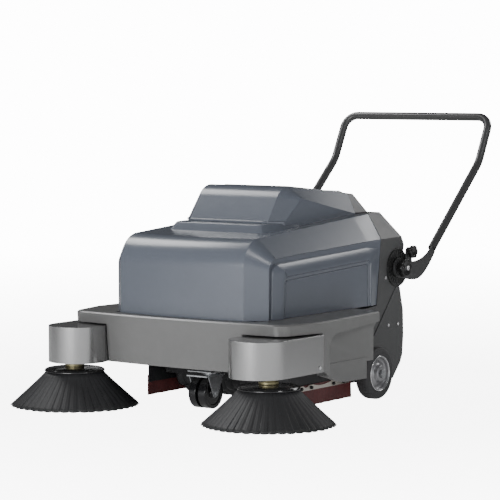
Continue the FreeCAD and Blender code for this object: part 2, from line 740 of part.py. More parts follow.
def wheel_turned(profile):
    """Solid turned about the wheel axle from (radius, x) points."""
    points = [V(x, WHEEL_Y, WHEEL_Z + radius) for radius, x in profile]
    face = Part.Face(Part.makePolygon(points + points[:1]))
    return face.revolve(V(0, WHEEL_Y, WHEEL_Z), V(1, 0, 0), 360)


def wheel_hub():
    """Rim, web and hub cone in one casting."""
    bore = AXLE_R + RUNNING
    return wheel_turned([
        (bore, 294), (22, 294), (26, 310), (46, 314), (46, 296), (RIM_R, 294.5), (RIM_R, 333.5),
        (50, 335.5), (48, 326), (30, 328), (22, 342), (bore, 342),
    ])


def wheel_axles():
    """Stub axles, each with its collar on the side frame and its nut outside the hub."""
    axle = rod(AXLE_R, (FRAME_X[1], 352), WHEEL_Y, WHEEL_Z)
    collar = rod(18, (FRAME_X[1], 293), WHEEL_Y, WHEEL_Z)
    nut = hex_bar(26, (342.5, 350), WHEEL_Y, WHEEL_Z)
    right = joined([axle, collar, nut])
    return group([right, mirrored(right)])


def caster_plate():
    """Fixed plate under the deck, with the pin that the fork swivels on."""
    plate = box((-45, 45), (-466, -357), (112, 116))
    spacer = box((-30, 30), (-440, -375), (116, CASTER_PAD_Z))
    pin = post(8, (97.5, 112), 0, SWIVEL_Y)
    return joined([plate, spacer, pin])


def caster_fork():
    """Bent sheet fork with its swivel race on top."""
    top = box((-38, 38), (-478, -386), (100, 104))
    race = post(27, (104, 111.5), 0, SWIVEL_Y)
    leg = side_prism([(-470, 104), (-398, 104), (-398, 92), (-420, 40, 10), (-440, 32, 8), (-447, 50)],
                     (34.5, 38))
    axle = rod(CASTER_AXLE_R, (-38, 38), CASTER_Y, CASTER_R)
    caps = [hex_bar(14, (38, 42), CASTER_Y, CASTER_R), hex_bar(14, (-42, -38), CASTER_Y, CASTER_R)]
    fork = joined([top, race, leg, mirrored(leg), axle] + caps)
    return fork.cut(post(8 + RUNNING, (95, 112), 0, SWIVEL_Y))


def caster_wheels():
    """Twin wheel on one sleeve: two treads with a groove between them."""
    tread = rod(CASTER_R, (5, 31), CASTER_Y, CASTER_R).cut(rod(CASTER_R - 12, (28, 32), CASTER_Y, CASTER_R))
    sleeve = rod(16, (-33, 33), CASTER_Y, CASTER_R)
    wheels = joined([tread, mirrored(tread), sleeve])
    return wheels.cut(rod(CASTER_AXLE_R + RUNNING, (-40, 40), CASTER_Y, CASTER_R))


# ---------------------------------------------------------------- handle
def tube_path():
    """U-shaped centreline: up the right arm, across the top and down the left arm."""
    right = [V(TUBE_X, y, z) for y, z in (TUBE_END, TUBE_KNEE, TUBE_TOP)]
    points = right + [V(-p.x, p.y, p.z) for p in reversed(right)]
    radii = [0, 120, 46, 46, 120, 0]
    edges = []
    start = points[0]
    for index in range(1, len(points) - 1):
        corner, radius = points[index], radii[index]
        back = (points[index - 1] - corner).normalize()
        ahead = (points[index + 1] - corner).normalize()
        half = back.getAngle(ahead) / 2
        run = radius / math.tan(half)
        inward = (back + ahead).normalize() * (radius / math.sin(half) - radius)
        edges.append(Part.LineSegment(start, corner + back * run).toShape())
        edges.append(Part.Arc(corner + back * run, corner + inward, corner + ahead * run).toShape())
        start = corner + ahead * run
    edges.append(Part.LineSegment(start, points[-1]).toShape())
    return Part.Wire(edges)


def handle_tube():
    path = tube_path()
    start = V(TUBE_X, *TUBE_END)
    along = V(0, TUBE_KNEE[0] - TUBE_END[0], TUBE_KNEE[1] - TUBE_END[1])
    outer, inner = [
        path.makePipeShell([Part.Wire(Part.makeCircle(radius, start, along))], True, True)
        for radius in (TUBE_R, TUBE_BORE)
    ]
    return outer.cut(inner)


def handle_arm():
    """Flat curved arm from the pivot eye to its tongue inside the tube."""
    along = V(TUBE_KNEE[0] - TUBE_END[0], TUBE_KNEE[1] - TUBE_END[1], 0).normalize()
    across = V(-along.y, along.x, 0)
    end = V(*TUBE_END, 0)
    low_end, high_end = end - across * TUBE_R, end + across * TUBE_R
    lower = [V(PIVOT_Y, PIVOT_Z - 32, 0), V(264.5, 360, 0), V(326.5, 359, 0), V(385, 392, 0), low_end]
    upper = [high_end, V(345, 422, 0), V(300, 416, 0), V(PIVOT_Y, PIVOT_Z + 32, 0)]

    def place(p):
        return V(ARM_X[0], p.x, p.y)

    edges = []
    for points in (lower, upper):
        curve = Part.BSplineCurve()
        curve.interpolate([place(p) for p in points])
        edges.append(curve.toShape())
    edges.append(Part.LineSegment(place(low_end), place(high_end)).toShape())
    edges.append(Part.Arc(place(upper[-1]), V(ARM_X[0], PIVOT_Y - 32, PIVOT_Z), place(lower[0])).toShape())
    outline = Part.Wire(Part.__sortEdges__(edges))
    thick = V(ARM_X[1] - ARM_X[0], 0, 0)
    blade = Part.Face(outline).extrude(thick)
    tongue_half, tongue_run = 6.5, 40
    tongue = Part.Face(Part.makePolygon([
        place(end - across * tongue_half), place(end + across * tongue_half),
        place(end + across * tongue_half + along * tongue_run),
        place(end - across * tongue_half + along * tongue_run), place(end - across * tongue_half),
    ])).extrude(thick)
    lug = rod(15, ARM_X, STOP_Y, STOP_Z)
    web = side_prism([
        (STOP_Y - 14, STOP_Z), (STOP_Y + 14, STOP_Z), (STOP_Y + 22, 405), (STOP_Y - 22, 405),
    ], ARM_X)
    arm = joined([blade, tongue, lug, web])
    arm = arm.cut(rod(STUD_R + RUNNING, (280, 310), PIVOT_Y, PIVOT_Z))
    return arm.cut(rod(5 + RUNNING, (280, 310), STOP_Y, STOP_Z))


def tilt_disc():
    """Ribbed disc on the housing that the arm clamps against."""
    disc = rod(DISC_R, (DISC_X[0], DISC_X[0] + 3), PIVOT_Y, PIVOT_Z)
    rim = rod(DISC_R, DISC_X, PIVOT_Y, PIVOT_Z).cut(rod(DISC_R - 7, (280, 300), PIVOT_Y, PIVOT_Z))
    ribs = []
    for turn in range(0, 360, 15):
        rib = box((DISC_X[0] + 1, DISC_X[1]), (PIVOT_Y - 2, PIVOT_Y + 2), (PIVOT_Z + 36, PIVOT_Z + DISC_R - 5))
        rib.rotate(V(0, PIVOT_Y, PIVOT_Z), V(1, 0, 0), turn)
        ribs.append(rib)
    hub = rod(20, DISC_X, PIVOT_Y, PIVOT_Z)
    return joined([disc, rim, hub] + ribs).cut(rod(STUD_R + RUNNING, (280, 300), PIVOT_Y, PIVOT_Z))


def star_knob(centre, radius, x, stud_radius, stud_foot):
    """Hand knob with six lobes on a stud along X."""
    y, z = centre
    lobe = radius * 0.3
    pieces = [rod(radius * 0.72, x, y, z), rod(radius * 0.45, (ARM_X[1] + AIR, x[0]), y, z)]
    for turn in range(0, 360, 60):
        angle = math.radians(turn)
        reach = radius - lobe
        pieces.append(rod(lobe, x, y + reach * math.cos(angle), z + reach * math.sin(angle)))
    pieces.append(rod(stud_radius, (stud_foot, x[0] + 1), y, z))
    return joined(pieces)


def lock_knob():
    knob = star_knob((PIVOT_Y, PIVOT_Z), 34, (307, 325), STUD_R, 262)
    return joined([knob, hex_bar(15, (325, 331), PIVOT_Y, PIVOT_Z)])


def stop_knob():
    return star_knob((STOP_Y, STOP_Z), 24, (305, 319), 5, ARM_X[0] + 0.5)


# ---------------------------------------------------------------- build
os.makedirs("parts", exist_ok=True)

PAIRS = {
    "side_frame": side_frame, "side_flap": side_flap, "flap_clamp": flap_clamp, "pod": pod,
    "side_motor": side_motor, "rear_cover": rear_cover, "battery": battery, "tilt_disc": tilt_disc,
    "handle_arm": handle_arm, "lock_knob": lock_knob, "stop_knob": stop_knob,
    "brush_hub": brush_hub, "brush_disc": brush_disc, "bristle_skirt": bristle_skirt,
    "tyre": tyre, "wheel_hub": wheel_hub,
}
SINGLES = {
    "deck_plate": deck_plate, "equipment_plate": equipment_plate, "flap_bolts": flap_bolts,
    "bumper_shell": bumper_shell, "rear_housing": rear_housing, "body_screws": body_screws,
    "controller_box": controller_box, "main_motor": main_motor,
    "filter_cartridge": filter_cartridge, "fan_casing": fan_casing, "caster_plate": caster_plate,
    "wheel_axles": wheel_axles, "control_panel": control_panel, "charge_inlet": charge_inlet,
    "drive_belt": drive_belt, "hood_hinge_pin": hood_hinge_pin, "hood_shell": hood_shell,
    "handle_tube": handle_tube, "main_brush_core": main_brush_core,
    "main_brush_bristles": main_brush_bristles, "motor_pulley": motor_pulley,
    "caster_fork": caster_fork, "caster_wheels": caster_wheels, "dust_bin": dust_bin,
    "key_switch": key_switch, "power_rocker": power_rocker, "stop_button": stop_button,
}
for part_name, make in PAIRS.items():
    save_pair(part_name, make())
for part_name, make in SINGLES.items():
    save(part_name, make())
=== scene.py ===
import json
import math
import random

import bmesh
import bpy
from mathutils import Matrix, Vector

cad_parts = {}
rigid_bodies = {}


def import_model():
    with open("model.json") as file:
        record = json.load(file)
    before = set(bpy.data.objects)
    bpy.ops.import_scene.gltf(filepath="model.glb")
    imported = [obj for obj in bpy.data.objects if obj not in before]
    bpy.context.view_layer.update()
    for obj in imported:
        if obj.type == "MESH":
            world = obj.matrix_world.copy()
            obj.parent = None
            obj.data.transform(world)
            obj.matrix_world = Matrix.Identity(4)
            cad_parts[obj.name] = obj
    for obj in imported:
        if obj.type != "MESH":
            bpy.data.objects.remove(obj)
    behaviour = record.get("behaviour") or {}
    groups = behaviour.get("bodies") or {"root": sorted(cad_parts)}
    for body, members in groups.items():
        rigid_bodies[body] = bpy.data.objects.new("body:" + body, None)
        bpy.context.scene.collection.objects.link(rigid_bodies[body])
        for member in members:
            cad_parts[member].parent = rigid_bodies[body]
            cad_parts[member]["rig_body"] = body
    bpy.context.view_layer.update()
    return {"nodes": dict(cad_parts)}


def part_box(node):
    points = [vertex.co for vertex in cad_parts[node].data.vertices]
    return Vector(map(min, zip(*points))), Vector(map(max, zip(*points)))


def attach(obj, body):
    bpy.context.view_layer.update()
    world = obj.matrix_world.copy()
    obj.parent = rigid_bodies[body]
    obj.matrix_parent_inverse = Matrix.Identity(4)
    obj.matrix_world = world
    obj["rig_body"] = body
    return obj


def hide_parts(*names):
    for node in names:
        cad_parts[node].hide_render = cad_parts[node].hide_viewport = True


# Looks of the walk-behind sweeper. Lengths are in millimetres and become metres where a mesh is
# made. X is across the machine, the front faces -Y, Z is up from the floor.
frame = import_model()
MM = 0.001


def span(node):
    """Lowest and highest corner of a node, in millimetres."""
    low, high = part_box(node)
    return low / MM, high / MM


# ---------------------------------------------------------------- camera
CAMERA_TARGET = Vector((-0.19527, 0.0775, 0.44431))
CAMERA_AZIMUTH, CAMERA_ELEVATION = 35.30, 4.31
CAMERA_DISTANCE, CAMERA_LENS = 7.5675, 166.48
CAMERA_FAR = 200


def make_camera():
    azimuth, elevation = math.radians(CAMERA_AZIMUTH), math.radians(CAMERA_ELEVATION)
    level = math.cos(elevation)
    back = Vector((math.sin(azimuth) * level, -math.cos(azimuth) * level, math.sin(elevation)))
    data = bpy.data.cameras.new("camera")
    data.lens = CAMERA_LENS
    data.clip_end = CAMERA_FAR
    camera = bpy.data.objects.new("camera", data)
    camera.location = CAMERA_TARGET + back * CAMERA_DISTANCE
    camera.rotation_mode = "QUATERNION"
    camera.rotation_quaternion = (-back).to_track_quat("-Z", "Y")
    bpy.context.scene.collection.objects.link(camera)
    bpy.context.scene.camera = camera


make_camera()


# ---------------------------------------------------------------- shader helpers
def node(tree, kind, inputs, **settings):
    """Adds a shader node; each input is a value or another node's output."""
    made = tree.nodes.new(kind)
    for key, value in settings.items():
        setattr(made, key, value)
    for key, value in inputs.items():
        if isinstance(value, bpy.types.NodeSocket):
            tree.links.new(value, made.inputs[key])
        else:
            made.inputs[key].default_value = value
    return made


def noise(tree, place, scale, detail=3.0, stretch=None):
    if stretch:
        place = node(tree, "ShaderNodeMapping", {"Vector": place, "Scale": stretch}).outputs[0]
    inputs = {"Vector": place, "Scale": scale, "Detail": detail}
    return node(tree, "ShaderNodeTexNoise", inputs).outputs["Fac"]


def ranged(tree, value, start, end, low=0.0, high=1.0):
    inputs = {"Value": value, "From Min": start, "From Max": end, "To Min": low, "To Max": high}
    return node(tree, "ShaderNodeMapRange", inputs).outputs[0]


def blended(tree, share, first, second):
    made = node(tree, "ShaderNodeMix", {}, data_type="RGBA")
    for index, value in ((0, share), (6, first), (7, second)):
        if isinstance(value, bpy.types.NodeSocket):
            tree.links.new(value, made.inputs[index])
        else:
            made.inputs[index].default_value = value
    return made.outputs[2]


def product(tree, first, second):
    made = node(tree, "ShaderNodeMath", {}, operation="MULTIPLY")
    for index, value in enumerate((first, second)):
        if isinstance(value, bpy.types.NodeSocket):
            tree.links.new(value, made.inputs[index])
        else:
            made.inputs[index].default_value = value
    return made.outputs[0]


def shade(colour, factor):
    return (*(min(1.0, channel * factor) for channel in colour), 1.0)


def finish(name, colour, rough, metal=0.0, coat=0.0, grain=900.0, bump=0.12, mottle=0.07,
           wear_and_highlight=0.3, stretch=None, streak=0.0, dust=0.05, gloss=0.5):
    """Moulded, painted or cast surface: mottled colour, fine grain, edges lightened as wear and, where
    the amount is large, as a painted highlight, and light dust.
    """
    material = bpy.data.materials.new(name)
    material.use_nodes = True
    tree = material.node_tree
    tree.nodes.clear()
    place = node(tree, "ShaderNodeTexCoord", {}).outputs["Object"]
    cloud = noise(tree, place, 7.0)
    fine = noise(tree, place, grain, 2.0, stretch)
    base = blended(tree, cloud, shade(colour, 1 - mottle), shade(colour, 1 + mottle))
    if streak:
        lines = ranged(tree, noise(tree, place, 90.0, 4.0, (1, 1, 0.05)), 0.35, 0.7, 0.0, streak)
        base = blended(tree, lines, base, shade(colour, 0.45))
    # Pointy edges are lightened: worn edges on most finishes, and a painted highlight on zinc_steel.
    edge = node(tree, "ShaderNodeNewGeometry", {}).outputs["Pointiness"]
    edge_wear_and_highlight = product(tree, ranged(tree, edge, 0.54, 0.70, 0.0, wear_and_highlight), noise(tree, place, 60.0))
    base = blended(tree, edge_wear_and_highlight, base, shade(colour, 2.2))
    normal = node(tree, "ShaderNodeNewGeometry", {}).outputs["Normal"]
    upward = node(tree, "ShaderNodeSeparateXYZ", {"Vector": normal}).outputs["Z"]
    settled = product(tree, ranged(tree, upward, 0.5, 1.0, 0.0, dust), noise(tree, place, 25.0))
    base = blended(tree, settled, base, (0.45, 0.44, 0.42, 1.0))
    blotch = noise(tree, place, 40.0)
    roughness = ranged(tree, blotch, 0.3, 0.7, max(0.04, rough - 0.012), min(1.0, rough + 0.015))
    relief = node(tree, "ShaderNodeBump", {"Height": fine, "Strength": bump, "Distance": 0.0004})
    shader = node(tree, "ShaderNodeBsdfPrincipled", {
        "Base Color": base, "Roughness": roughness, "Normal": relief.outputs[0],
        "Metallic": metal, "Specular IOR Level": gloss, "Coat Weight": coat, "Coat Roughness": 0.12,
    })
    node(tree, "ShaderNodeOutputMaterial", {"Surface": shader.outputs[0]})
    return material


# ---------------------------------------------------------------- finishes, one for each slot
FINISHES = {
    "chassis_paint": finish("chassis_paint", (0.018, 0.018, 0.020), 0.45, grain=500, bump=0.2),
    "bumper_plastic": finish("bumper_plastic", (0.150, 0.150, 0.149), 0.30, grain=1400, bump=0.06,
                             mottle=0.04, wear_and_highlight=0.2),
    "pod_finish": finish("pod_finish", (0.31, 0.31, 0.31), 0.23, metal=0.8, grain=2400, bump=0.04,
                         mottle=0.04, wear_and_highlight=0.1),
    "housing_plastic": finish("housing_plastic", (0.072, 0.073, 0.074), 0.44, grain=1400, bump=0.12),
    "flap_rubber": finish("flap_rubber", (0.135, 0.032, 0.032), 0.50, grain=260, bump=0.25,
                          mottle=0.22, streak=0.35),
    "strip_steel": finish("strip_steel", (0.62, 0.58, 0.52), 0.34, metal=0.9, grain=700,
                          stretch=(1, 0.04, 1), wear_and_highlight=0.2),
    "bolt_black": finish("bolt_black", (0.014, 0.014, 0.014), 0.36, metal=0.5, grain=600),
    "screw_metal": finish("screw_metal", (0.85, 0.85, 0.86), 0.22, metal=0.95, grain=900, bump=0.05),
    "battery_plastic": finish("battery_plastic", (0.035, 0.036, 0.04), 0.5, grain=700, bump=0.2),
    "controller_alloy": finish("controller_alloy", (0.48, 0.49, 0.50), 0.4, metal=0.9, grain=500),
    "motor_paint": finish("motor_paint", (0.05, 0.055, 0.06), 0.4, metal=0.3, grain=400, bump=0.2),
    "filter_fabric": finish("filter_fabric", (0.62, 0.60, 0.54), 0.85, grain=1500, bump=0.5),
    "fan_plastic": finish("fan_plastic", (0.03, 0.03, 0.032), 0.45, grain=800),
    # zinc_steel's strong edge lightening is a painted highlight along the caster parts' edges.
    "zinc_steel": finish("zinc_steel", (0.34, 0.35, 0.36), 0.30, metal=0.7, grain=300, mottle=0.2,
                         wear_and_highlight=1.6),
    "panel_plastic": finish("panel_plastic", (0.022, 0.022, 0.023), 0.5, grain=1600, bump=0.2),
    "disc_plastic": finish("disc_plastic", (0.016, 0.016, 0.016), 0.34, grain=900, bump=0.15),
    "belt_rubber": finish("belt_rubber", (0.012, 0.012, 0.012), 0.7, grain=500, bump=0.3),
    "hinge_steel": finish("hinge_steel", (0.55, 0.55, 0.56), 0.3, metal=0.95, grain=500),
    "hood_plastic": finish("hood_plastic", (0.122, 0.136, 0.164), 0.25, grain=2200,
                           bump=0.015, mottle=0.03, wear_and_highlight=0.25),
    "handle_paint": finish("handle_paint", (0.046, 0.046, 0.047), 0.34, coat=0.1, grain=1300,
                           bump=0.03, wear_and_highlight=0.1, mottle=0.05),
    "knob_plastic": finish("knob_plastic", (0.010, 0.010, 0.010), 0.28, grain=900, bump=0.12),
    "hub_brass": finish("hub_brass", (0.30, 0.27, 0.15), 0.36, metal=0.85, grain=500, mottle=0.2),
    "brush_disc_plastic": finish("brush_disc_plastic", (0.012, 0.012, 0.013), 0.16, coat=0.4,
                                 grain=400, bump=0.05),
    "bristle_nylon": finish("bristle_nylon", (0.032, 0.0325, 0.034), 0.50, grain=1500, bump=0.25,
                            mottle=0.25, wear_and_highlight=0.0, dust=0.0, gloss=0.25),
    "tyre_rubber": finish("tyre_rubber", (0.045, 0.045, 0.047), 0.62, grain=700, bump=0.3,
                          mottle=0.15, dust=0.12),
    "wheel_alloy": finish("wheel_alloy", (0.36, 0.36, 0.37), 0.36, metal=0.75, grain=800, wear_and_highlight=0.8),
    "core_plastic": finish("core_plastic", (0.05, 0.05, 0.05), 0.5, grain=600),
    "pulley_alloy": finish("pulley_alloy", (0.5, 0.5, 0.51), 0.32, metal=0.95, grain=400),
    "caster_plastic": finish("caster_plastic", (0.009, 0.009, 0.010), 0.20, coat=0.3, grain=500,
                             bump=0.08),
    "bin_plastic": finish("bin_plastic", (0.028, 0.029, 0.031), 0.5, grain=900, bump=0.2),
    "key_metal": finish("key_metal", (0.6, 0.6, 0.58), 0.25, metal=0.95, grain=700),
    "rocker_plastic": finish("rocker_plastic", (0.015, 0.015, 0.015), 0.3, grain=900),
    "stop_plastic": finish("stop_plastic", (0.52, 0.016, 0.012), 0.28, coat=0.3, grain=900),
}
SLOT_OF = {}
for cad_name, cad_node in frame["nodes"].items():
    SLOT_OF[cad_name] = cad_node.material_slots[0].material.name.split(".")[0]
    cad_node.material_slots[0].material = FINISHES[SLOT_OF[cad_name]]


# ---------------------------------------------------------------- mesh helpers
def build(name, rows, wrap=False, close=False, fill_ends=False):
    """Quads between rows of points; wrap joins a row's ends, close joins the last row to the first."""
    count = len(rows[0])
    vertices = [Vector(point) * MM for row in rows for point in row]
    faces = []
    for start in range(len(rows) if close else len(rows) - 1):
        above = (start + 1) % len(rows)
        for index in range(count if wrap else count - 1):
            beside = (index + 1) % count
            faces.append((start * count + index, start * count + beside,
                          above * count + beside, above * count + index))
    if fill_ends:
        faces.append(tuple(range(count)))
        faces.append(tuple(range((len(rows) - 1) * count, len(rows) * count)))
    mesh = bpy.data.meshes.new(name)
    mesh.from_pydata(vertices, [], faces)
    return cleaned(name, mesh)


def cleaned(name, mesh):
    """Object of the mesh with coincident corners merged and every face turned outward."""
    shape = bmesh.new()
    shape.from_mesh(mesh)
    bmesh.ops.remove_doubles(shape, verts=shape.verts, dist=0.02 * MM)
    bmesh.ops.dissolve_degenerate(shape, edges=shape.edges, dist=0.01 * MM)
    bmesh.ops.recalc_face_normals(shape, faces=shape.faces)
    centre = sum((v.co for v in shape.verts), Vector()) / len(shape.verts)
    outward = sum(f.normal.dot(f.calc_center_median() - centre) * f.calc_area() for f in shape.faces)
    if outward < 0:
        bmesh.ops.reverse_faces(shape, faces=shape.faces)
    for face in shape.faces:
        face.smooth = True
    shape.to_mesh(mesh)
    shape.free()
    made = bpy.data.objects.new(name, mesh)
    bpy.context.scene.collection.objects.link(made)
    return made


def joined(name, parts):
    """One object out of several, with their shared corners merged."""
    shape = bmesh.new()
    for part in parts:
        shape.from_mesh(part.data)
        bpy.data.objects.remove(part)
    mesh = bpy.data.meshes.new(name)
    shape.to_mesh(mesh)
    shape.free()
    return cleaned(name, mesh)


def soften(made, width, angle=28, segments=3):
    """Rounds sharp edges to the width, and by less where the faces beside them are narrow."""
    shape = bmesh.new()
    shape.from_mesh(made.data)
    layer = shape.edges.layers.float.new("bevel_weight_edge")
    limit = math.radians(angle)
    sharp = {e for e in shape.edges if len(e.link_faces) == 2 and e.calc_face_angle(0) > limit}
    for edge in sharp:
        room = width * MM
        for corner in edge.verts:
            along = (edge.other_vert(corner).co - corner.co).normalized()
            for other in corner.link_edges:
                if other is edge:
                    continue
                run = other.other_vert(corner).co - corner.co
                if abs(along.dot(run.normalized())) < 0.8:
                    share = 0.42 if other in sharp else 0.85
                    room = min(room, run.length * share)
        edge[layer] = room / (width * MM)
    shape.to_mesh(made.data)
    shape.free()
    bevel = made.modifiers.new("rounding", "BEVEL")
    bevel.limit_method = "WEIGHT"
    bevel.width = width * MM
    bevel.segments = segments
    bevel.use_clamp_overlap = True
    bevel.loop_slide = False
    normals = made.modifiers.new("normals", "WEIGHTED_NORMAL")
    normals.weight = 60
    return made


def lathe(name, profile, centre, axis="Z", steps=96, ring=False, wave=None):
    """Turned piece from (radius, along) points about the axis through the centre."""
    rows = []
    for step in range(steps):
        angle = 2 * math.pi * step / steps
        row = []
        for index, (radius, along) in enumerate(profile):
            reach = radius + (wave(index, angle) if wave else 0.0)
            across, up = reach * math.cos(angle), reach * math.sin(angle)
            offset = Vector((across, up, along)) if axis == "Z" else Vector((along, across, up))
            row.append(Vector(centre) + offset)
        rows.append(row)
    return build(name, rows, wrap=ring, close=True)


def rounded(corners, steps=8):
    """Open path through (x, y, z) corners; one with a fourth number, its radius, gets an arc."""
    points = []
    for index, corner in enumerate(corners):
        here = Vector(corner[:3])
        if len(corner) < 4:
            points.append(here)
            continue
        before = (Vector(corners[index - 1][:3]) - here).normalized()
        after = (Vector(corners[index + 1][:3]) - here).normalized()
        half = before.angle(after) / 2
        run = corner[3] / math.tan(half)
        centre = here + (before + after).normalized() * (corner[3] / math.sin(half))
        start, end = here + before * run - centre, here + after * run - centre
        turn = start.angle(end)
        for step in range(steps + 1):
            share = step / steps
            points.append(centre + (start * math.sin((1 - share) * turn) + end * math.sin(share * turn))
                          / math.sin(turn))
    return points


def flipped(points):
    return [Vector((-p.x, p.y, p.z)) for p in points]


def prism(name, outline, low, high, axis="X"):
    """Closed outline of (a, b) points carried along an axis: (y, z) along X or (x, y) along Z."""
    rows = []
    for level in (low, high):
        if axis == "X":
            rows.append([Vector((level, a, b)) for a, b in outline])
        else:
            rows.append([Vector((a, b, level)) for a, b in outline])
    return build(name, rows, wrap=True, fill_ends=True)


def put(made, body, slot, *replaced):
    """Gives the piece its finish and its body, and hides the nodes that it stands for."""
    made.data.materials.clear()
    made.data.materials.append(FINISHES[slot])
    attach(made, body)
    if replaced:
        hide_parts(*replaced)
    return made


BODY_OF = {n: o["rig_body"] for n, o in frame["nodes"].items()}


def recast(source, width, angle=28, segments=3):
    """The node's own shape as a moulded or machined piece with rounded edges."""
    mesh = frame["nodes"][source].data.copy()
    mesh.attributes.remove(mesh.attributes["custom_normal"])
    shape = bmesh.new()
    shape.from_mesh(mesh)
    bmesh.ops.remove_doubles(shape, verts=shape.verts, dist=0.01 * MM)
    bmesh.ops.dissolve_limit(shape, angle_limit=math.radians(0.4), verts=shape.verts, edges=shape.edges)
    shape.to_mesh(mesh)
    shape.free()
    made = cleaned(source + "_detail", mesh)
    soften(made, width, angle, segments)
    return put(made, BODY_OF[source], SLOT_OF[source], source)


SIDES = (("left", -1), ("right", 1))

# ---------------------------------------------------------------- hood
HOOD_LOW = span("hood_shell")[0]
HOOD_BASE = HOOD_LOW.z
HOOD_FLAT, HOOD_SIDE = 230.0, 284.0
HOOD_BOW = 16.0
HOOD_FRONT = HOOD_LOW.y + HOOD_BOW
HOOD_EYE = 85.0
ROOF_FRONT_Z, ROOF_SLOPE = 526.0, 0.072
SEAM_Y, SEAM_SLOPE = 92.0, 0.1184
BAND_END = 31.0               # where the raised side frame's bright upper band stops
CREST_X, CHANNEL_X, GROOVE_X, PANEL_X = 292.0, 280.0, 274.0, 286.0
CAP_FLAT, CAP_SIDE = 148.0, 184.0
SHELL = 4.0
HINGE_Y, HINGE_Z, EYE_R = 134.0, 641.0, 5.0
STRAP_WIDTH = 20.0


def roof(y):
    return ROOF_FRONT_Z + (y - HOOD_FRONT) * ROOF_SLOPE


def seam(z):
    return SEAM_Y + (z - HOOD_BASE) * SEAM_SLOPE


def cap_top(y):
    return 639.0 - (y - 133.0) * 0.101


def hood_row(x):
    """Front-to-back line of the lower tier at x, inside the side chamfers."""
    front = HOOD_FRONT - HOOD_BOW * (1 - (x / HOOD_FLAT) ** 2)
    rear = seam(576)
    return rounded([(x, front, HOOD_BASE), (x, front, roof(front), HOOD_EYE),
                    (x, BAND_END, roof(BAND_END)), (x, rear, roof(rear))], 14)


def hood_sides():
    """Outlines of the right side wall, from the chamfer's edge in to the recessed panel."""
    base, rear = HOOD_BASE, seam(HOOD_BASE)
    return [rounded(corners, 14) for corners in (
        [(HOOD_SIDE, -502, base), (HOOD_SIDE, -502, 472, 40), (HOOD_SIDE, BAND_END, 494.5),
         (HOOD_SIDE, seam(497), 497), (HOOD_SIDE, rear, base)],
        [(GROOVE_X, -500, base), (GROOVE_X, -500, 470, 38), (CHANNEL_X + 1, BAND_END, 492),
         (HOOD_SIDE - 0.5, seam(492) - 2, 492), (HOOD_SIDE - 0.5, rear - 2, base)],
        [(GROOVE_X, -489, base), (GROOVE_X, -483, 455, 28), (CHANNEL_X + 1, BAND_END + 4, 474.5),
         (HOOD_SIDE - 0.5, seam(470) - 8, 470), (HOOD_SIDE - 0.5, rear - 8, base)],
        [(GROOVE_X + 9, -486, base), (GROOVE_X + 9, -480, 453, 28), (CHANNEL_X + 1, BAND_END + 4, 473.5),
         (HOOD_SIDE, seam(470) - 9, 469), (HOOD_SIDE, rear - 9, base)],
        [(CREST_X, -456, base), (CREST_X, -438, 435.5, 8), (CREST_X, BAND_END + 22, 454.5),
         (CREST_X, BAND_END + 24, 440), (CREST_X, BAND_END + 25, base)],
        [(CREST_X, -434, base), (CREST_X, -431, 416.5, 13), (CREST_X, BAND_END + 6, 437),
         (CREST_X, BAND_END + 17, 426), (CREST_X, BAND_END + 18, base)],
        [(CREST_X - 5, -432, base), (CREST_X - 5, -429.5, 414.5, 13), (CREST_X - 5, BAND_END + 5, 435),
         (CREST_X - 5, BAND_END + 15.5, 424.5), (CREST_X - 5, BAND_END + 16.5, base)],
        [(CREST_X - 4, -429.5, base), (CREST_X - 4, -427, 412, 13), (CREST_X - 4, BAND_END + 3, 432.5),
         (CREST_X - 4, BAND_END + 13, 422), (CREST_X - 4, BAND_END + 13.5, base)],
        [(PANEL_X, -425, base), (PANEL_X, -422, 405, 12), (PANEL_X, BAND_END, 425),
         (PANEL_X, BAND_END + 9, 416), (PANEL_X, BAND_END + 9, base)],
        [(PANEL_X - 3, -424, base), (PANEL_X - 3, -421, 404, 12), (PANEL_X - 3, BAND_END - 1, 424),
         (PANEL_X - 3, BAND_END + 8, 415), (PANEL_X - 3, BAND_END + 8, base)],
        [(PANEL_X - 3, -422.5, base), (PANEL_X - 3, -419.5, 402.5, 12),
         (PANEL_X - 3, BAND_END - 2, 422.5), (PANEL_X - 3, BAND_END + 6.5, 414),
         (PANEL_X - 3, BAND_END + 6.5, base)],
        [(PANEL_X, -421.5, base), (PANEL_X, -418.5, 401.5, 12), (PANEL_X, BAND_END - 3, 421.5),
         (PANEL_X, BAND_END + 5.5, 413), (PANEL_X, BAND_END + 5.5, base)],
    )]


def hood_lower():
    stations = [HOOD_FLAT * step / 12 for step in range(-12, 13)]
    sides = hood_sides()
    rows = [hood_row(x) for x in stations]
    top = build("top", [flipped(sides[0][:-1])] + rows + [sides[0][:-1]])
    walls = []
    for outlines in (sides, [flipped(line) for line in sides]):
        walls.append(build("wall", outlines))
        panel = bpy.data.meshes.new("panel")
        panel.from_pydata([p * MM for p in outlines[-1]], [], [tuple(range(len(outlines[-1])))])
        walls.append(cleaned("panel", panel))
    made = joined("hood_body", [top] + walls)
    shape = bmesh.new()
    shape.from_mesh(made.data)
    under_cap = [f for f in shape.faces if f.normal.z > 0.9 and abs(f.calc_center_median().x) < 0.15
                 and f.calc_center_median().y > -0.2]
    bmesh.ops.delete(shape, geom=under_cap, context="FACES")
    shape.to_mesh(made.data)
    shape.free()
    return shelled(made, 3.0)


def shelled(made, width):
    """Gives an open skin the moulding's thickness inward, then rounds its edges."""
    thick = made.modifiers.new("thickness", "SOLIDIFY")
    thick.thickness = SHELL * MM
    thick.offset = -1
    soften(made, width)
    return made


